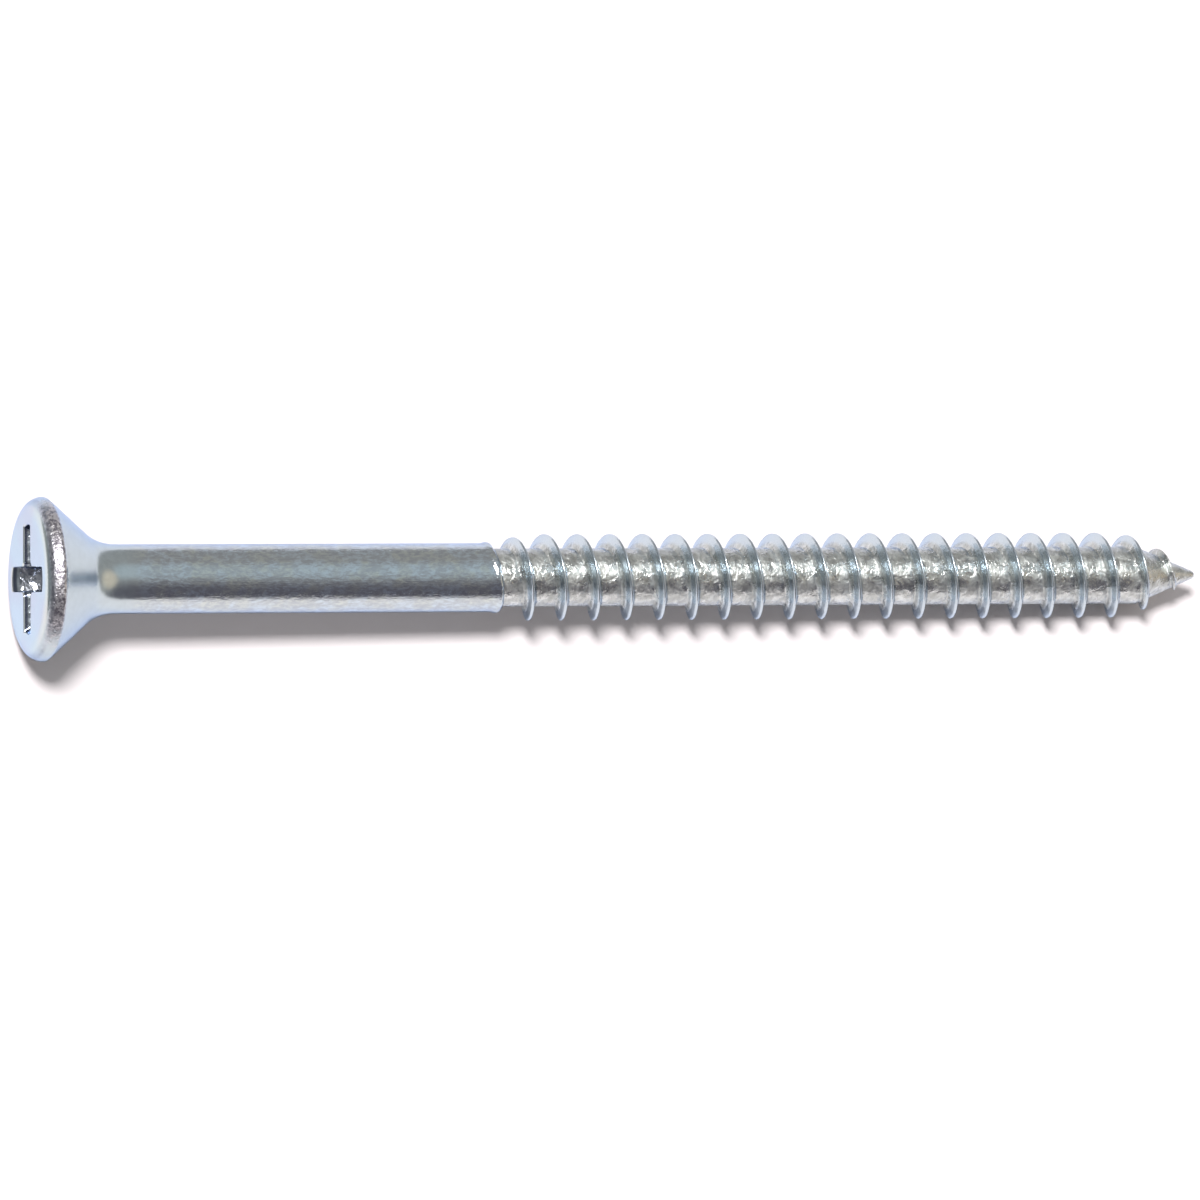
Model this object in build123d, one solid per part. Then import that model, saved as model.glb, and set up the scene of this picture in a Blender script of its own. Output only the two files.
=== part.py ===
from build123d import *

import os
from math import cos, pi, radians, sin, tan

# Countersunk wood screw with a cross recess, number 12 gauge, 3 inches long, in zinc-plated steel.
#
# Units are millimetres. The screw's axis is the X axis: the head's flat face is at X = 0 and the point
# is at +X. +Z is up, as the screw lies on a bench. The real screw is one piece of steel, and each solid
# here is one of its five regions. They meet face to face and don't move on each other.

# Driving dimensions
LENGTH = 76.2  # face of the head to the tip, 3 inches
SHANK_R = 2.14  # plain shank, the wire before it was rolled
THREAD_R = 2.705  # over the crests
ROOT_R = 1.80  # between the ridges
PITCH = 2.135  # close to 12 threads to the inch
LIE_TURN = 25  # degrees: how far the screw has rolled from the recess's slots standing along Y and Z

# Head: a flat face, a rounded edge, a short upright rim, an 82 degree cone and a curved neck
RIM_R = 5.08
EDGE_LENGTH = 0.60  # the rounded edge is a quarter of an ellipse, this long along the axis
EDGE_WIDTH = 1.00  # and this wide across the face
RIM_LENGTH = 0.44
CONE_HALF_ANGLE = radians(41)
NECK_ROUND = 3.0

# Cross recess: two wedge-shaped slots held within a cone, with a square core that opens their corners
RECESS_SPAN = 6.66
RECESS_TAPER = radians(26.5)
RECESS_WALL_DEPTH = 2.60
RECESS_FLOOR_ANGLE = radians(28)
WING_MOUTH = 1.56
WING_FLOOR = 1.16
CORE_MOUTH = 2.50
CORE_FLOOR = 1.50

# Shoulder where the rolled part begins: a face tilted like the thread's lead
SHOULDER_X = 29.95
SHOULDER_RISE = 0.32  # how far the face leans each way at the shank's surface
SHOULDER_BEVEL = 0.12

# Thread ridge
CREST_WIDTH = 0.20
FLANK_HALF_ANGLE = radians(20)
FIRST_CREST_X = 30.977  # where the ridge first passes the +Y side
RUN_OUT_TURNS = 0.20  # the ridge begins this much of a turn before that
RUN_OUT_R = 2.0  # crest radius where the ridge begins
FULL_AFTER_TURNS = 0.37  # the ridge is full height this much of a turn after that
FADE_X = 70.3  # the crest starts to come down to the point here
FADE_RATE = 0.0833  # and comes down by this times the square of the distance from there
POINTS_PER_TURN = 24

# Point: a 44 degree gimlet cone with a blunt tip
POINT_X = 72.2
POINT_HALF_ANGLE = radians(22)

NECK_DROP = NECK_ROUND * (1 - cos(CONE_HALF_ANGLE))
CONE_X = EDGE_LENGTH + RIM_LENGTH
NECK_X = CONE_X + (RIM_R - SHANK_R - NECK_DROP) / tan(CONE_HALF_ANGLE)
HEAD_END_X = NECK_X + NECK_ROUND * sin(CONE_HALF_ANGLE)


def turned(profile):
    """Revolve a closed outline, drawn with X along the axis and Y as radius, about the X axis."""
    return revolve(make_face(profile), Axis.X)


def arc_point(centre_x, centre_r, radius, angle):
    """A point on a circle in the profile's plane."""
    return (centre_x + radius * cos(angle), centre_r + radius * sin(angle))


def recess_wedge(mouth, floor, depth, across):
    """A slot cutter: a trapezium of the given widths at the mouth and the floor, drawn out along Z."""
    outside = 1.0  # the cutter starts this far in front of the face
    widen = (mouth - floor) / 2 / depth
    front = mouth / 2 + outside * widen
    outline = Polyline(
        (-outside, front), (depth, floor / 2), (depth, -floor / 2), (-outside, -front), close=True
    )
    return extrude(make_face(outline), across, both=True)


def recess_cutter():
    """The punch that leaves the cross recess."""
    outside = 0.5
    mouth_r = RECESS_SPAN / 2
    wall_r = mouth_r - RECESS_WALL_DEPTH * tan(RECESS_TAPER)
    depth = RECESS_WALL_DEPTH + wall_r * tan(RECESS_FLOOR_ANGLE)
    cone = turned(
        Polyline(
            (-outside, 0),
            (-outside, mouth_r + outside * tan(RECESS_TAPER)),
            (RECESS_WALL_DEPTH, wall_r),
            (depth, 0),
            close=True,
        )
    )
    wing = recess_wedge(WING_MOUTH, WING_FLOOR, depth, RECESS_SPAN)
    core = recess_wedge(CORE_MOUTH, CORE_FLOOR, depth, CORE_MOUTH / 2)
    cross = wing + Rot(90, 0, 0) * wing
    square = Rot(45, 0, 0) * core & Rot(-45, 0, 0) * core
    return Rot(LIE_TURN, 0, 0) * (cone & (cross + square))


def make_head():
    """The head and its curved neck, with the cross recess cut in the face."""
    face_r = RIM_R - EDGE_WIDTH
    edge_mid = (EDGE_LENGTH * (1 - cos(radians(45))), face_r + EDGE_WIDTH * sin(radians(45)))
    neck_r = SHANK_R + NECK_DROP
    neck_mid = arc_point(
        HEAD_END_X, SHANK_R + NECK_ROUND, NECK_ROUND, radians(270) - CONE_HALF_ANGLE / 2
    )
    outline = (
        Line((0, 0), (0, face_r))
        + Spline((0, face_r), edge_mid, (EDGE_LENGTH, RIM_R), tangents=((0, 1), (1, 0)))
        + Line((EDGE_LENGTH, RIM_R), (CONE_X, RIM_R))
        + Line((CONE_X, RIM_R), (NECK_X, neck_r))
        + ThreePointArc((NECK_X, neck_r), neck_mid, (HEAD_END_X, SHANK_R))
        + Line((HEAD_END_X, SHANK_R), (HEAD_END_X, 0))
        + Line((HEAD_END_X, 0), (0, 0))
    )
    return turned(outline) - recess_cutter()


def shoulder_plane():
    """The leaning face where the shank ends, with its normal towards the point."""
    lean = SHOULDER_RISE / SHANK_R
    turn = radians(LIE_TURN)
    return Plane(origin=(SHOULDER_X, 0, 0), z_dir=(1, lean * cos(turn), lean * sin(turn)))


def make_shank():
    """The plain round shank, cut off at the shoulder."""
    beyond = 2 * SHOULDER_RISE
    rod = turned(
        Polyline(
            (HEAD_END_X, 0),
            (HEAD_END_X, SHANK_R),
            (SHOULDER_X + beyond, SHANK_R),
            (SHOULDER_X + beyond, 0),
            close=True,
        )
    )
    shank = split(rod, shoulder_plane(), keep=Keep.BOTTOM)
    end_face = shank.faces().sort_by(Axis.X)[-1]
    return chamfer(end_face.edges(), SHOULDER_BEVEL)


def make_root():
    """The rolled-down core between the shoulder and the point, which the ridge winds round."""
    before = 2 * SHOULDER_RISE
    rod = turned(
        Polyline(
            (SHOULDER_X - before, 0),
            (SHOULDER_X - before, ROOT_R),
            (POINT_X, ROOT_R),
            (POINT_X, 0),
            close=True,
        )
    )
    return split(rod, shoulder_plane(), keep=Keep.TOP)


def make_point():
    """The gimlet cone, down to a round tip that meets it smoothly."""
    end_r = ROOT_R - (LENGTH - POINT_X) * tan(POINT_HALF_ANGLE)
    tip_round = end_r * cos(POINT_HALF_ANGLE) / (1 - sin(POINT_HALF_ANGLE))
    centre_x = LENGTH - tip_round
    meeting = arc_point(centre_x, 0, tip_round, pi / 2 - POINT_HALF_ANGLE)
    tip_mid = arc_point(centre_x, 0, tip_round, (pi / 2 - POINT_HALF_ANGLE) / 2)
    outline = (
        Line((POINT_X, 0), (POINT_X, ROOT_R))
        + Line((POINT_X, ROOT_R), meeting)
        + ThreePointArc(meeting, tip_mid, (LENGTH, 0))
        + Line((LENGTH, 0), (POINT_X, 0))
    )
    return turned(outline)


def surface_r(x):
    """Radius of the core or the point, which the ridge stands on, at X."""
    return ROOT_R - max(0.0, x - POINT_X) * tan(POINT_HALF_ANGLE)


def crest_r(x):
    """Radius of the ridge's crest at X: it runs out at the shank and comes down on to the point."""
    turns = (x - FIRST_CREST_X) / PITCH
    share = min(1.0, (turns + RUN_OUT_TURNS) / (FULL_AFTER_TURNS + RUN_OUT_TURNS))
    run_out = (THREAD_R - RUN_OUT_R) * (1 - share) ** 2
    fade = FADE_RATE * max(0.0, x - FADE_X) ** 2
    return THREAD_R - run_out - fade


def ridge_end_x():
    """X where the crest is about to sink into the point."""
    x = POINT_X
    step = PITCH / POINTS_PER_TURN
    least_height = 0.06
    while crest_r(x + step) - surface_r(x + step) > least_height:
        x += step
    return x


def on_helix(x, offset, radius):
    """The point at this radius, offset along X from the ridge's middle, at the ridge's angle for X."""
    angle = 2 * pi * (x - FIRST_CREST_X) / PITCH
    return Vector(x + offset, radius * cos(angle), radius * sin(angle))


def make_thread():
    """The right-handed ridge: ruled flanks, crest and foot between four helical edges, closed by end faces."""
    start = FIRST_CREST_X - RUN_OUT_TURNS * PITCH
    end = ridge_end_x()
    count = round((end - start) / PITCH * POINTS_PER_TURN)
    stations = [start + (end - start) * i / count for i in range(count + 1)]

    def foot_point(x, side):
        offset = side * (CREST_WIDTH / 2 + (crest_r(x) - surface_r(x)) * tan(FLANK_HALF_ANGLE))
        return on_helix(x, offset, surface_r(x + offset))

    corners = []
    for side in (-1, 1):
        foot = [foot_point(x, side) for x in stations]
        crest = [on_helix(x, side * CREST_WIDTH / 2, crest_r(x)) for x in stations]
        corners.append((foot, crest))
    (foot_a, crest_a), (foot_b, crest_b) = corners
    loop = [foot_a, crest_a, crest_b, foot_b]
    edges = [Edge.make_spline(points, parameters=range(count + 1)) for points in loop]
    sides = [Face.make_surface_from_curves(edges[i], edges[(i + 1) % 4]) for i in range(4)]
    ends = [Face(Wire.make_polygon([points[i] for points in loop], close=True)) for i in (0, -1)]
    return Solid(Shell(sides + ends))


def main():
    os.makedirs("parts", exist_ok=True)
    nodes = {
        "head": make_head(),
        "shank": make_shank(),
        "thread_root": make_root(),
        "thread": make_thread(),
        "point": make_point(),
    }
    for name, shape in nodes.items():
        export_step(shape, f"parts/{name}.step")


main()
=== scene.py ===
from math import atan, cos, pi, radians, sin, sqrt, tan

import bpy
import numpy as np
from mathutils import Matrix, Vector, noise


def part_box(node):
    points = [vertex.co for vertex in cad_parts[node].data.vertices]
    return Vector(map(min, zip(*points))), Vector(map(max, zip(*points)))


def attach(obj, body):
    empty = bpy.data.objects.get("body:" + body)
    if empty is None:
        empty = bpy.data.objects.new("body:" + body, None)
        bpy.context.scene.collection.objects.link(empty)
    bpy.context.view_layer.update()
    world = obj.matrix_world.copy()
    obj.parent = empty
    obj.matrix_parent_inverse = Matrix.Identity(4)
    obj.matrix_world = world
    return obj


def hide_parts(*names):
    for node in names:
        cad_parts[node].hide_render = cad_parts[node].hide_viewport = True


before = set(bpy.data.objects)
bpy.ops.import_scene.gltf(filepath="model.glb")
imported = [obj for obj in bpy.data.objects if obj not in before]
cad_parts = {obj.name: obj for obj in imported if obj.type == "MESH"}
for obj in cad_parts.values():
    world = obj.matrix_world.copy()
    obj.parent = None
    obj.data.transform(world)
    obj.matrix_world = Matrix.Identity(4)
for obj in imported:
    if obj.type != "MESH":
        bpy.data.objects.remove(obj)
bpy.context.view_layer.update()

# ---------------------------------------------------------------------------------------------------
# The shank: the plain part of the drawn steel wire that the screw is made from, left at its full size.
# It was cold-drawn through a die, so fine marks run along it, and the zinc plating on it is finely
# mottled. Its far end is a leaning, slightly swollen shoulder, where the dies pushed the steel back.
MM = 0.001

lie_turn = radians(25)  # how far the screw has rolled about its axis where it lies
shank_low, shank_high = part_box("shank")
shank_r = (shank_high.z - shank_low.z) / 2
shoulder_rise = 0.32 * MM  # the shoulder leans by this much each way
shoulder_x = shank_high.x - shoulder_rise
lip_height = 0.07 * MM


def smooth(value, low, high):
    """0 below low, 1 above high, and an S-shaped step between them."""
    t = np.clip((value - low) / (high - low), 0, 1)
    return t * t * (3 - 2 * t)


def rough(points, size, seed):
    """Noise from about -1 to 1 at each point, with bumps of the given size."""
    shift = Vector((seed, seed * 1.7, seed * 0.6))
    flat = points.reshape(-1, 3) / size
    return np.array([noise.noise(Vector(p) + shift) for p in flat]).reshape(points.shape[:-1])


def around_axis(x, radius, angle):
    """Points at this place along the axis, radius and angle from +Y towards +Z."""
    x, radius, angle = np.broadcast_arrays(x, radius, angle)
    return np.stack([x, radius * np.cos(angle), radius * np.sin(angle)], axis=-1)


def add_piece(name, points, faces, metal):
    """A smooth mesh object in the row frame, which rides on the screw's one body."""
    mesh = bpy.data.meshes.new(name)
    mesh.from_pydata([tuple(p) for p in points], [], faces)
    mesh.polygons.foreach_set("use_smooth", [True] * len(mesh.polygons))
    mesh.materials.append(metal)
    piece = bpy.data.objects.new(name, mesh)
    bpy.context.scene.collection.objects.link(piece)
    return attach(piece, "root")


def tube_faces(first, rings, around):
    """Quads between rings of points numbered from first, facing away from the axis."""
    faces = []
    for i in range(rings - 1):
        low, high = first + i * around, first + (i + 1) * around
        for j in range(around):
            k = (j + 1) % around
            faces.append((low + j, low + k, high + k, high + j))
    return faces


def cap_faces(centre, first, around, forward):
    """A fan of triangles from a centre point to a ring, facing +X when forward."""
    pairs = [(first + j, first + (j + 1) % around) for j in range(around)]
    return [(centre, j, k) if forward else (centre, k, j) for j, k in pairs]


def add_turned(name, rings, metal):
    """A closed piece from an array of rings along the axis, with both ends capped."""
    count, around = rings.shape[:2]
    points = np.concatenate([rings.reshape(-1, 3), rings[0].mean(0)[None], rings[-1].mean(0)[None]])
    faces = tube_faces(0, count, around)
    faces += cap_faces(count * around, 0, around, False)
    faces += cap_faces(count * around + 1, (count - 1) * around, around, True)
    return add_piece(name, points, faces, metal)


class Wire:
    """A shader socket that sums can be written with. A node is made through any wire of its tree."""

    def __init__(self, tree, socket=None):
        self.tree = tree
        self.socket = socket

    def node(self, kind, settings=None, sockets=None, output=0):
        """A new node of this kind, and a wire from one of its outputs."""
        made = self.tree.nodes.new(kind)
        for name, value in (settings or {}).items():
            setattr(made, name, value)
        for name, value in (sockets or {}).items():
            if isinstance(value, Wire):
                self.tree.links.new(value.socket, made.inputs[name])
            else:
                made.inputs[name].default_value = value
        return Wire(self.tree, made.outputs[output] if made.outputs else None)

    def maths(self, operation, *values):
        return self.node("ShaderNodeMath", {"operation": operation}, dict(enumerate(values)))

    def __add__(self, other):
        return self.maths("ADD", self, other)

    __radd__ = __add__

    def __sub__(self, other):
        return self.maths("SUBTRACT", self, other)

    def __rsub__(self, other):
        return self.maths("SUBTRACT", other, self)

    def __mul__(self, other):
        return self.maths("MULTIPLY", self, other)

    __rmul__ = __mul__

    def __pow__(self, other):
        return self.maths("POWER", self, other)

    def step(self, low, high):
        """0 where this is below low, 1 where it is above high, and smooth between."""
        settings = {"interpolation_type": "SMOOTHSTEP"}
        sockets = {"Value": self, "From Min": low, "From Max": high}
        return self.node("ShaderNodeMapRange", settings, sockets)

    def mix(self, without, wanted):
        """A colour that goes from one to the other as this goes from 0 to 1."""
        colours = {0: self, 6: without, 7: wanted}
        return self.node("ShaderNodeMix", {"data_type": "RGBA"}, colours, 2)

    def stretched(self, along, across):
        """These coordinates divided by a size along the screw and one across it."""
        scale = (1 / along, 1 / across, 1 / across)
        return self.node("ShaderNodeMapping", None, {"Vector": self, "Scale": scale})

    def along(self):
        """How far these coordinates are along the screw."""
        return self.node("ShaderNodeSeparateXYZ", None, {"Vector": self}, "X")

    def from_axis(self):
        """How far these coordinates are from the screw's axis."""
        flat = self.node("ShaderNodeVectorMath", {"operation": "MULTIPLY"}, {0: self, 1: (0, 1, 1)})
        return flat.node("ShaderNodeVectorMath", {"operation": "LENGTH"}, {0: flat}, "Value")

    def dot(self, direction):
        """How far these coordinates reach in a direction."""
        sockets = {0: self, 1: direction}
        return self.node("ShaderNodeVectorMath", {"operation": "DOT_PRODUCT"}, sockets, "Value")

    def share_towards(self, direction):
        """Round the axis, 1 where a direction or its opposite points, and 0 halfway between the two."""
        flat = self.node("ShaderNodeVectorMath", {"operation": "MULTIPLY"}, {0: self, 1: (0, 1, 1)})
        share = self.node("ShaderNodeVectorMath", {"operation": "NORMALIZE"}, {0: flat}).dot(direction)
        return (share * share) ** 0.5

    def cloud(self, size, detail=2.0, roughness=0.5, twist=0.0):
        """Soft noise from 0 to 1 with features of the given size."""
        sockets = {"Vector": self, "Scale": 1 / size, "Detail": detail}
        sockets.update({"Roughness": roughness, "Distortion": twist})
        return self.node("ShaderNodeTexNoise", None, sockets)

    def pits(self, size):
        """Distance from the nearest of a scatter of points, 0 at each point, in units of size."""
        return self.node("ShaderNodeTexVoronoi", None, {"Vector": self, "Scale": 1 / size})


def new_metal(name):
    """A material with no nodes yet, and the coordinates that its patterns are laid out in."""
    metal = bpy.data.materials.new(name)
    metal.use_nodes = True
    metal.node_tree.nodes.clear()
    place = Wire(metal.node_tree).node("ShaderNodeTexCoord", None, None, "Object")
    return metal, place


def plate(metal, place, colour, roughness, height, edge_tint):
    """Ends a material as zinc plate: height is its relief in mm, and edge_tint its colour seen edge-on."""
    sockets = {"Base Color": colour, "Metallic": 1.0, "Roughness": roughness, "Specular Tint": edge_tint}
    sockets["Normal"] = place.node("ShaderNodeBump", None, {"Height": height, "Distance": MM})
    shader = place.node("ShaderNodeBsdfPrincipled", None, sockets)
    place.node("ShaderNodeOutputMaterial", None, {"Surface": shader})
    return metal


lavender = (0.62, 0.74, 1.0, 1)  # bright zinc where it is seen edge-on


def drawn_zinc():
    """Zinc on drawn wire: faint marks along it, fine mottling and a few dull patches."""
    metal, place = new_metal("drawn_zinc")
    marks = place.stretched(1.6 * MM, 0.10 * MM).cloud(1.0, 3.0, 0.6)
    mottle = place.stretched(0.42 * MM, 0.22 * MM).cloud(1.0, 4.0, 0.66, 0.4)
    patches = place.cloud(1.3 * MM, 2.0)
    drawn = place.along().step(shank_low.x, shank_low.x + 2 * MM)  # striking the head polished the neck
    tint = patches.step(0.42, 0.60).mix((0.60, 0.69, 0.75, 1), (0.61, 0.66, 0.63, 1))
    colour = mottle.step(0.36, 0.66).mix((0.47, 0.51, 0.54, 1), tint)
    colour = drawn.mix((0.54, 0.612, 0.635, 1), colour)
    roughness = 0.17 - drawn * 0.08 + drawn * mottle * 0.09
    height = drawn * (marks * 0.008 + mottle * 0.019)
    return plate(metal, place, colour, roughness, height, lavender)


def make_shank():
    """Rings from the neck to the shoulder, tilting to the shoulder's lean, then in under the thread."""
    start = shank_low.x - 0.25 * MM  # it rises out of the neck without a seam
    end = shoulder_x
    angle = np.linspace(0, 2 * pi, 160, endpoint=False)
    plain, lip = np.linspace(start, end - 0.6 * MM, 150), np.linspace(end - 0.55 * MM, end, 16)
    along = np.concatenate([plain, lip])
    tilt = smooth(along, end - 3 * MM, end)[:, None]
    swell = lip_height * np.exp(-(((along - end + 0.22 * MM) / (0.2 * MM)) ** 2))[:, None]
    lean = -shoulder_rise * np.cos(angle - lie_turn)[None, :]
    x = along[:, None] + tilt * lean
    skin = around_axis(x, shank_r, angle)
    dents = rough(skin, 1.6 * MM, 3) * 0.006 * MM + rough(skin, 0.35 * MM, 5) * 0.002 * MM
    ragged = rough(skin, 0.3 * MM, 8) * smooth(along, end - 0.5 * MM, end)[:, None]
    edge = smooth(along, end - 0.14 * MM, end + 0.04 * MM)[:, None] * 0.10 * MM
    out_of_neck = smooth(along, start, start + 1.2 * MM)[:, None]
    dented = shank_r - 0.012 * MM + (0.006 * MM + dents) * out_of_neck
    radius = dented + swell * (1 + 0.5 * ragged) - edge
    rings = around_axis(x + 0.05 * MM * ragged * tilt, radius, angle)
    step_in = [(0.05 * MM, 0.86), (0.07 * MM, 0.80)]  # the shoulder's face: how far on, and share of radius
    face = [rings[-1] * (1, share, share) + (on, 0, 0) for on, share in step_in]
    return add_turned("shank_drawn", np.concatenate([rings, face]), drawn_zinc())


shank = make_shank()
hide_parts("shank")

# ---------------------------------------------------------------------------------------------------
# The head: struck cold on the end of the wire, with a flat face, a short crowned rim that the die left
# pitted, an 82 degree cone and a curved neck. A punch left the cross recess, whose four wings narrow
# towards the floor. It carries the same zinc plating, smoothest on the face and the cone.
head_low, head_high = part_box("head")
rim_r = (head_high.z - head_low.z) / 2
edge_round = 0.60 * MM
rim_length = 0.44 * MM
cone_half_angle = radians(41)
neck_round = 3.0 * MM
edge_width = 1.00 * MM  # how far the edge's rounding reaches across the face
face_r = rim_r - edge_width

recess_r = 3.33 * MM  # from the axis to a wing's end
recess_taper = tan(radians(26.5))
wall_depth = 2.60 * MM
floor_slope = tan(radians(28))
wing_half, wing_slope = 0.78 * MM, 0.0635  # half width at the mouth, and how much it narrows with depth
core_half, core_slope = 1.25 * MM, 0.155  # the same for the square core that opens the wings' corners


def smooth_max(a, b, blend):
    """The larger of two heights, rounded off where they are within blend of each other."""
    return np.maximum(a, b) + np.clip(blend - np.abs(a - b), 0, None) ** 2 / (4 * blend)


def smooth_min(a, b, blend):
    """The smaller of two heights, rounded off in the same way."""
    return -smooth_max(-a, -b, blend)


def recess_depth(y, z):
    """How deep the recess is behind a point of the face, with rounded edges."""
    r = np.hypot(y, z)
    wall_r = recess_r - wall_depth * recess_taper
    wall = (recess_r - r) / recess_taper
    floor = wall_depth + (wall_r - r) * floor_slope
    cone = smooth_min(wall, floor, 0.3 * MM)
    wing = (wing_half - np.minimum(abs(y), abs(z))) / wing_slope
    core = (core_half - np.maximum(abs(y + z), abs(y - z)) / sqrt(2)) / core_slope
    slots = smooth_max(wing, core, 0.5 * MM)
    return smooth_max(smooth_min(cone, slots, 0.35 * MM), -0.02 * MM, 0.30 * MM)


def head_profile():
    """Points (x, radius) of the head's outside, from just past the face to the end of the neck."""
    neck_r = shank_r + neck_round * (1 - cos(cone_half_angle))
    cone_x = edge_round + rim_length
    neck_x = cone_x + (rim_r - neck_r) / tan(cone_half_angle)
    crown = cone_x - 0.07 * MM  # the rim is crowned, so the edge's rounding runs on across it
    edge = [(crown * (1 - cos(t)), face_r + edge_width * sin(t)) for t in np.linspace(0.10, pi / 2, 34)]
    corner = 0.05 * MM  # the sharp corner between rim and cone is barely broken
    share = np.linspace(0, 1, 26)
    cone_along = cone_x + share * (neck_x - cone_x) + (1 - share) * corner
    cone_out = rim_r + share * (neck_r - rim_r) - (1 - share) * corner
    cone = list(zip(cone_along, cone_out))
    centre_x, centre_r = head_high.x, shank_r + neck_round
    turn = np.linspace(cone_half_angle, 0, 22)[1:]
    neck = [(centre_x - neck_round * sin(t), centre_r - neck_round * cos(t)) for t in turn]
    sunk = [(head_high.x + t * MM, shank_r - 0.03 * t * MM) for t in (0.15, 0.35, 0.6, 0.9)]
    return np.array(edge + cone + neck + sunk)


def headed_zinc():
    """Zinc on the struck head: smooth on the face and cone, with pits and duller on the rim towards the
    camera and opposite, where its dark speckle is painted dark reflection; painted shade inside the recess,
    darkest at its mouth.
    """
    metal, place = new_metal("headed_zinc")
    along, radius = place.along(), place.from_axis()
    mottle = place.cloud(0.5 * MM, 4.0, 0.6, 0.3)
    lumps = place.cloud(0.42 * MM, 2.0, 0.5, 0.4)
    spots = place.cloud(0.26 * MM, 3.0, 0.65, 0.3)
    fine = place.cloud(0.13 * MM, 3.0, 0.6)
    pits = 1 - place.pits(0.17 * MM).step(0.12, 0.5)
    stain = place.cloud(3.0 * MM, 1.0).step(0.35, 0.65)

    face = 1 - along.step(0.05 * MM, 0.2 * MM)
    rim = radius.step(rim_r - 0.55 * MM, rim_r - 0.25 * MM) * (1 - along.step(1.0 * MM, 1.2 * MM))
    rim = rim * along.step(0.07 * MM, 0.22 * MM)
    dark_reflection_way = radians(15)  # the rim's pits and dark speckle are kept towards the camera and the side opposite, where the speckle is painted dark reflection of the room
    pits_and_dark_reflection = place.share_towards((0, -sin(dark_reflection_way), cos(dark_reflection_way))) + spots * 0.5 - 0.25
    rim = rim * pits_and_dark_reflection.step(0.32, 0.80)
    inside = along.step(0.12 * MM, 0.6 * MM) * (1 - (radius + along).step(5.1 * MM, 5.5 * MM))
    mouth = along.step(0.04 * MM, 0.10 * MM) * (1 - along.step(0.20 * MM, 0.34 * MM))
    mouth = mouth * (1 - radius.step(3.4 * MM, 3.6 * MM))

    colour = mottle.step(0.3, 0.75).mix((0.515, 0.585, 0.605, 1), (0.56, 0.64, 0.665, 1))
    colour = face.mix(colour, stain.mix((0.68, 0.765, 0.735, 1), (0.69, 0.71, 0.695, 1)))
    # The rim's dark speckle is painted shade, standing in for the dark room that the rim reflects towards
    # the camera; the bright spots are the zinc's own tone
    pit_speckle_and_shade = spots.step(0.40, 0.60).mix((0.22, 0.21, 0.24, 1), (0.62, 0.61, 0.63, 1))
    colour = rim.mix(colour, pit_speckle_and_shade)
    # Painted shade: the recess's walls and floor are painted darker than the head, mottled
    recess_shade = mottle.step(0.35, 0.65).mix((0.20, 0.22, 0.26, 1), (0.52, 0.55, 0.60, 1))
    colour = inside.mix(colour, recess_shade)
    # Painted shadow: a dark band just inside the recess's mouth
    colour = mouth.mix(colour, (0.13, 0.15, 0.20, 1))
    roughness = 0.17 + mottle * 0.06 + rim * (0.14 + fine * 0.16)
    height = mottle * 0.006 + fine * 0.0015 + inside * lumps * 0.11
    height = height + rim * (lumps * 0.050 + fine * 0.014 - pits * 0.010)
    return plate(metal, place, colour, roughness, height, lavender)


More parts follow.
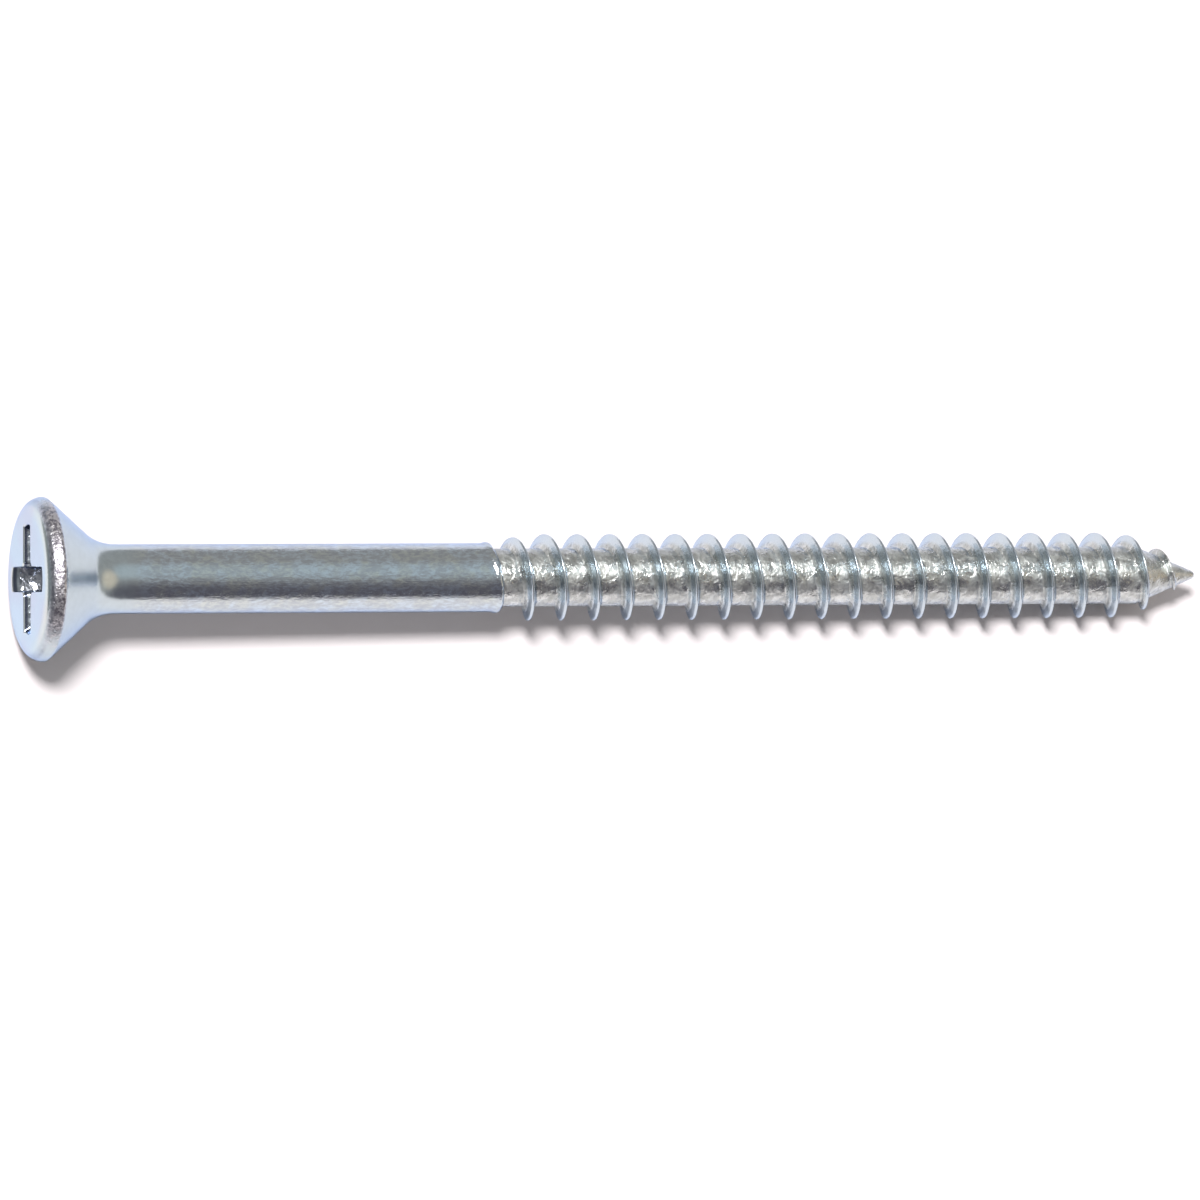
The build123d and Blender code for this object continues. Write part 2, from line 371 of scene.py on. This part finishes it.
def make_head():
    """The face as a grid drawn in to a circle, and the outside as rings that carry on from its edge.

    The grid's lines are closest together along the recess's wings and at their ends.
    """
    half_lines = np.concatenate(
        [
            np.linspace(0, 0.50, 7)[:-1],
            np.linspace(0.50, 0.90, 21)[:-1],
            np.linspace(0.90, 1.50, 10)[:-1],
            np.linspace(1.50, 3.00, 14)[:-1],
            np.linspace(3.00, 3.55, 14)[:-1],
            np.linspace(3.55, face_r / MM, 8),
        ]
    )
    lines = np.concatenate([-half_lines[:0:-1], half_lines]) * MM
    n = len(lines)
    y, z = np.meshgrid(lines, lines, indexing="ij")
    reach = np.maximum(abs(y), abs(z))
    square = reach / np.maximum(np.hypot(y, z), 1e-9)
    pull = 1 - (1 - square) * smooth(reach, 1.2 * MM, 4.3 * MM)
    depth = recess_depth(y, z)
    y, z = y * pull, z * pull
    grid = np.stack([depth, y, z], -1)
    grid[..., 0] += 0.006 * MM * (1 + rough(grid, 1.4 * MM, 21))
    across = [(n - 1, k) for k in range(n - 1)] + [(i, n - 1) for i in range(n - 1, 0, -1)]
    back = [(0, k) for k in range(n - 1, 0, -1)] + [(i, 0) for i in range(n - 1)]
    edge = np.array([i * n + k for i, k in across + back])
    points = grid.reshape(-1, 3)
    angle = np.arctan2(points[edge, 2], points[edge, 1])

    profile = head_profile()
    neck_end = head_high.x
    skin = around_axis(profile[:, 0:1], profile[:, 1:2], angle[None, :])
    on_rim = smooth(profile[:, 1], rim_r - 0.5 * MM, rim_r - 0.1 * MM) * (profile[:, 0] < 1.3 * MM)
    pitting = np.minimum(rough(skin, 0.30 * MM, 31) + 0.25, 0) * 0.05 * MM
    pitting += (rough(skin, 1.2 * MM, 33) * 0.012 - 0.01) * MM
    before_neck = smooth(profile[:, 0], neck_end, 3 * MM)
    wave = (rough(skin, 2.2 * MM, 35) - 1) * 0.010 * MM
    radius = profile[:, 1:2] + pitting * on_rim[:, None] + wave * before_neck[:, None]
    rings = around_axis(profile[:, 0:1], radius, angle[None, :])

    count, around = rings.shape[:2]
    first = len(points)
    everything = np.concatenate([points, rings.reshape(-1, 3), rings[-1].mean(0)[None]])
    faces = []
    for i in range(n - 1):
        for corner in range(i * n, i * n + n - 1):
            faces.append((corner, corner + 1, corner + n + 1, corner + n))
    for j in range(around):
        k = (j + 1) % around
        faces.append((int(edge[j]), int(edge[k]), first + k, first + j))
    faces += tube_faces(first, count, around)
    faces += cap_faces(len(everything) - 1, first + (count - 1) * around, around, True)
    turned = everything @ np.array(Matrix.Rotation(lie_turn, 3, "X")).T
    return add_piece("head_struck", turned, faces, headed_zinc())


head = make_head()
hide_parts("head")

# ---------------------------------------------------------------------------------------------------
# The core under the thread: the wire squeezed down between two flat thread dies. The steel pushed out
# of the grooves went into the ridge, so the core is thinner than the shank, and the dies left it
# pitted and scuffed round the screw. It is plated with the rest.
root_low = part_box("thread_root")[0]
point_low, point_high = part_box("point")
root_r = (point_high.z - point_low.z) / 2
point_x = point_low.x
tip_x = point_high.x
point_half_angle = radians(22)


def rolled_zinc():
    """Zinc on rolled steel: pits and scuffs of several sizes, duller in the grooves."""
    metal, place = new_metal("rolled_zinc")
    ridge = place.from_axis().step(1.95 * MM, 2.25 * MM)
    scuffs = place.stretched(0.18 * MM, 0.40 * MM).cloud(1.0, 3.0, 0.6, 0.6)
    lumps = place.cloud(0.50 * MM, 3.0, 0.55, 0.5)
    worn = place.cloud(0.9 * MM, 3.0, 0.6, 0.4).step(0.38, 0.62)
    colour = lumps.step(0.35, 0.7).mix((0.51, 0.53, 0.505, 1), (0.71, 0.74, 0.72, 1))
    colour = (scuffs.step(0.5, 0.7) * (1 - ridge)).mix(colour, (0.44, 0.455, 0.45, 1))
    colour = ridge.mix(colour, (0.58, 0.655, 0.70, 1))
    roughness = ridge * 0.24 + (1 - ridge) * (0.22 + worn * 0.24)
    height = (scuffs * 0.035 + lumps * 0.095) * (1 - ridge * 0.75)
    return plate(metal, place, colour, roughness, height, (0.70, 0.80, 1.0, 1))


rolled_metal = rolled_zinc()


def core_r(x):
    """Radius of the core and the point, which the ridge stands on."""
    return root_r - np.clip(x - point_x, 0, None) * tan(point_half_angle)


def make_core():
    """Rings from inside the shank's end to the point, dented by the dies."""
    angle = np.linspace(0, 2 * pi, 132, endpoint=False)
    along = np.linspace(root_low.x - 0.3 * MM, point_x, 560)
    skin = around_axis(along[:, None], root_r, angle)
    dents = rough(skin, 0.55 * MM, 41) * 0.014 * MM + rough(skin, 0.2 * MM, 43) * 0.006 * MM
    rings = around_axis(along[:, None], root_r - 0.008 * MM + dents, angle)
    return add_turned("core_rolled", rings, rolled_metal)


core = make_core()
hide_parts("thread_root")

# ---------------------------------------------------------------------------------------------------
# The thread: one thin right-handed ridge that the dies raised out of the wire. Its flanks run into the
# core with a small fillet and its crest is slightly round. It starts low beside the shoulder, is at
# full height within a turn, and comes down on to the point.
pitch = 2.135 * MM
first_crest_x = 30.977 * MM  # where the ridge first passes the +Y side
crest_r_full = 2.705 * MM
low_start = 0.705 * MM  # how much lower than its full height the ridge starts
rise_from, rise_to = -0.20, 0.37  # where it rises, in turns from the first crest
down_from = 70.3 * MM  # where it starts to come down on to the point
down_curve = 83.3  # how sharply it curves down there, per metre
thread_end = 75.45 * MM
flank = tan(radians(20))
crest_half = 0.10 * MM


def crest_r(x):
    """Radius of the ridge's crest at x: running out at the shank and coming down on to the point."""
    turns = (x - first_crest_x) / pitch
    share = np.clip((turns - rise_from) / (rise_to - rise_from), 0, 1)
    return crest_r_full - low_start * (1 - share) ** 2 - down_curve * np.clip(x - down_from, 0, None) ** 2


def make_thread():
    """One section of the ridge carried along the helix: its skin, and its underside inside the core."""
    start = first_crest_x - 0.26 * pitch
    stations = np.linspace(start, thread_end, int(72 * (thread_end - start) / pitch))
    angle = 2 * pi * (stations - first_crest_x) / pitch
    top = crest_r(stations)
    height = np.clip(top - core_r(stations), 0.03 * MM, None)
    fillet = 0.22 * MM
    foot = crest_half + (height + fillet) * flank
    down_flank = [0.10, 0.20, 0.32, 0.45, 0.6, 0.78, 1.0]  # shares of the way from the crest to the foot
    side = np.array([0, 0.5, 1.0] + [1 + share for share in down_flank])
    side = np.concatenate([-side[:0:-1], side])
    on_flank = np.clip(abs(side) - 1, 0, None) * (foot - crest_half)[:, None]
    reach = np.clip(abs(side), 0, 1) * crest_half + on_flank
    offset = np.sign(side) * reach
    fall = height[:, None] - np.clip(reach - crest_half * 0.4, 0, None) / flank
    rise = smooth_max(smooth_min(fall, height[:, None], 0.12 * MM), 0, fillet)
    sink = 0.03 * MM * smooth(abs(side), 1.8, 2.0)
    x = stations[:, None] + offset
    wobble = np.array([noise.noise(Vector((a * 0.9, 4, 7))) for a in angle])[:, None] * 0.012 * MM
    radius = core_r(x) + rise - sink + wobble * smooth(rise, 0.2 * MM, 0.6 * MM)
    radius = np.minimum(radius, crest_r_full)
    skin = around_axis(x, radius, angle[:, None])
    nicks = rough(skin, 0.5 * MM, 51) * 0.012 * MM + rough(skin, 0.16 * MM, 53) * 0.006 * MM
    radius = np.clip(radius + nicks * (radius < crest_r_full), 0.02 * MM, crest_r_full)
    under = np.clip(core_r(x[:, [-1, 0]]) - 0.18 * MM, 0.01 * MM, None)
    x = np.concatenate([x, x[:, [-1, 0]]], 1)
    radius = np.concatenate([radius, under], 1)
    loops = around_axis(x, radius, angle[:, None])[:, ::-1]
    return add_turned("thread_rolled", loops, rolled_metal)


thread = make_thread()
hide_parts("thread")

# ---------------------------------------------------------------------------------------------------
# The point: a gimlet cone that the dies pinched off the end of the wire, so it is not quite round.
# It has shallow flats where the dies met and a blunt, slightly torn tip.
def make_point():
    """Rings from the core to the tip, with the dies' flats and the torn end."""
    angle = np.linspace(0, 2 * pi, 128, endpoint=False)
    end_length = 0.4 * MM  # the rings lie closer together over this much of the tip
    end = tip_x - end_length * np.cos(np.linspace(0.1, pi / 2 - 0.05, 14))
    along = np.concatenate([np.linspace(point_x, tip_x - end_length, 64), end])
    end_r = float(core_r(tip_x))
    tip_round = end_r * cos(point_half_angle) / (1 - sin(point_half_angle))
    from_centre = along - (tip_x - tip_round)
    ball = np.sqrt(np.clip(tip_round**2 - from_centre**2, 1e-12, None))
    radius = np.where(from_centre > tip_round * sin(point_half_angle), ball, core_r(along))
    grow = smooth(along, point_x + 0.2 * MM, point_x + 1.5 * MM)[:, None]
    flats = 0.045 * np.clip(np.cos(3 * (angle - 0.9)), 0, None)[None, :] ** 2 * grow
    skin = around_axis(along[:, None], radius[:, None], angle)
    dents = rough(skin, 0.5 * MM, 61) * 0.02 * MM + rough(skin, 0.18 * MM, 63) * 0.008 * MM
    dents *= smooth(radius, 0, 0.5 * MM)[:, None]
    dented = np.clip(radius[:, None] * (1 - flats) + dents, 0.005 * MM, None)
    dented = np.minimum(dented, radius[:, None] + 0.01 * MM)
    return add_turned("point_pinched", around_axis(along[:, None], dented, angle), rolled_metal)


point = make_point()
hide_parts("point")

# ---------------------------------------------------------------------------------------------------
# The bench: a plain white sheet. The screw lies on it on its head's rim and on the thread near the
# point, so the sheet is tilted a little from level in the screw's own frame. It ends close to the screw
# past the head and on the near side, and the metal shows a dark line for each of those edges.
last_full_x = 69.6 * MM  # the last ridge that is at full height underneath
bench_tilt = atan((rim_r - crest_r_full) / (last_full_x - edge_round))
left_edge, near_edge = -14 * MM, -48 * MM
far_edge = 2.5


def make_bench():
    """One flat face, tilted to touch the rim and the last full ridge."""
    mesh = bpy.data.meshes.new("bench")
    near = [(x, near_edge, -rim_r + (x - edge_round) * tan(bench_tilt)) for x in (left_edge, far_edge)]
    far = [(x, far_edge, z) for x, y, z in reversed(near)]
    mesh.from_pydata(near + far, [], [(0, 1, 2, 3)])
    sheet, place = new_metal("white_sheet")
    grain = place.cloud(0.3, 2.0)
    colour = grain.mix((0.755, 0.725, 0.74, 1), (0.765, 0.735, 0.75, 1))
    sockets = {"Base Color": colour, "Roughness": 0.9, "Specular IOR Level": 0.0}
    shader = place.node("ShaderNodeBsdfPrincipled", None, sockets)
    place.node("ShaderNodeOutputMaterial", None, {"Surface": shader})
    mesh.materials.append(sheet)
    bench = bpy.data.objects.new("bench", mesh)
    bpy.context.scene.collection.objects.link(bench)


make_bench()

# ---------------------------------------------------------------------------------------------------
# The light: one soft lamp overhead, leaning to the head's side, in a grey room that is paler overhead and
# darker on the near side and past the head, with a warm patch over the point. Bright metal shows the room
# as much as the lamp.
lamp_lean = radians(18)


def make_lamp():
    """The lamp is small enough that the thread's shadow keeps its scallops."""
    lamp = bpy.data.lights.new("lamp", "SUN")
    lamp.energy = 3.9
    lamp.angle = radians(15)
    lamp.color = (1.0, 0.97, 0.96)
    holder = bpy.data.objects.new("lamp", lamp)
    way = Vector((-sin(lamp_lean), 0.02, cos(lamp_lean)))
    holder.rotation_euler = way.to_track_quat("Z", "Y").to_euler()
    bpy.context.scene.collection.objects.link(holder)


def make_room():
    """Five soft patches of wall and ceiling, which the metal reflects, and plain white behind the sheet."""
    world = bpy.data.worlds.new("room")
    bpy.context.scene.world = world
    world.use_nodes = True
    world.node_tree.nodes.clear()
    way = Wire(world.node_tree).node("ShaderNodeTexCoord", None, None, "Generated")

    def towards(direction, within, beyond):
        """1 within some degrees of a direction, 0 beyond some more, and smooth between."""
        facing = way.dot(Vector(direction).normalized())
        return facing.step(cos(radians(beyond)), cos(radians(within)))

    room = towards((0, 1, 0), 108, 152).mix((0.16, 0.15, 0.175, 1), (0.42, 0.41, 0.405, 1))
    room = towards((1, 0, 0.15), 10, 50).mix(room, (0.42, 0.41, 0.40, 1))
    room = towards((-1, 0, 0.1), 12, 50).mix(room, (0.22, 0.235, 0.26, 1))
    room = towards((0.3, 0.0, 0.95), 4, 32).mix(room, (0.54, 0.59, 0.62, 1))
    room = towards((0.80, -0.27, 0.52), 10, 28).mix(room, (0.88, 0.745, 0.60, 1))
    seen = way.node("ShaderNodeLightPath", None, None, "Is Camera Ray")
    shown = seen.mix(room, (1, 1, 1, 1))
    background = way.node("ShaderNodeBackground", None, {"Color": shown, "Strength": 1.0})
    way.node("ShaderNodeOutputWorld", None, {"Surface": background})


make_lamp()
make_room()
bpy.context.scene.view_settings.view_transform = "Standard"

# ---------------------------------------------------------------------------------------------------
# The camera: a long lens that looks down on the screw from the near side, past the head, and is rolled
# so that the screw lies level across the frame.
camera_distance = 0.869
look_at = Vector((36.89, -1.29, -0.595)) * MM
past_head = radians(18.3)  # how far the view is turned from square on to the screw
roll = radians(-0.26)
square_on = Vector((0, -sin(lie_turn), cos(lie_turn)))
camera_way = square_on * cos(past_head) - Vector((sin(past_head), 0, 0))
frame_up = Matrix.Rotation(roll, 3, camera_way) @ Vector((0, cos(lie_turn), sin(lie_turn)))


def make_camera():
    """The camera stands off from look_at along camera_way, with frame_up towards the top of the frame."""
    lens = bpy.data.cameras.new("camera")
    lens.sensor_width = 36
    lens.lens = 420.7
    lens.clip_start = 0.01
    camera = bpy.data.objects.new("camera", lens)
    right = frame_up.cross(camera_way)
    turn = Matrix((right, frame_up, camera_way)).transposed()
    camera.matrix_world = Matrix.Translation(look_at + camera_way * camera_distance) @ turn.to_4x4()
    bpy.context.scene.collection.objects.link(camera)
    bpy.context.scene.camera = camera


make_camera()
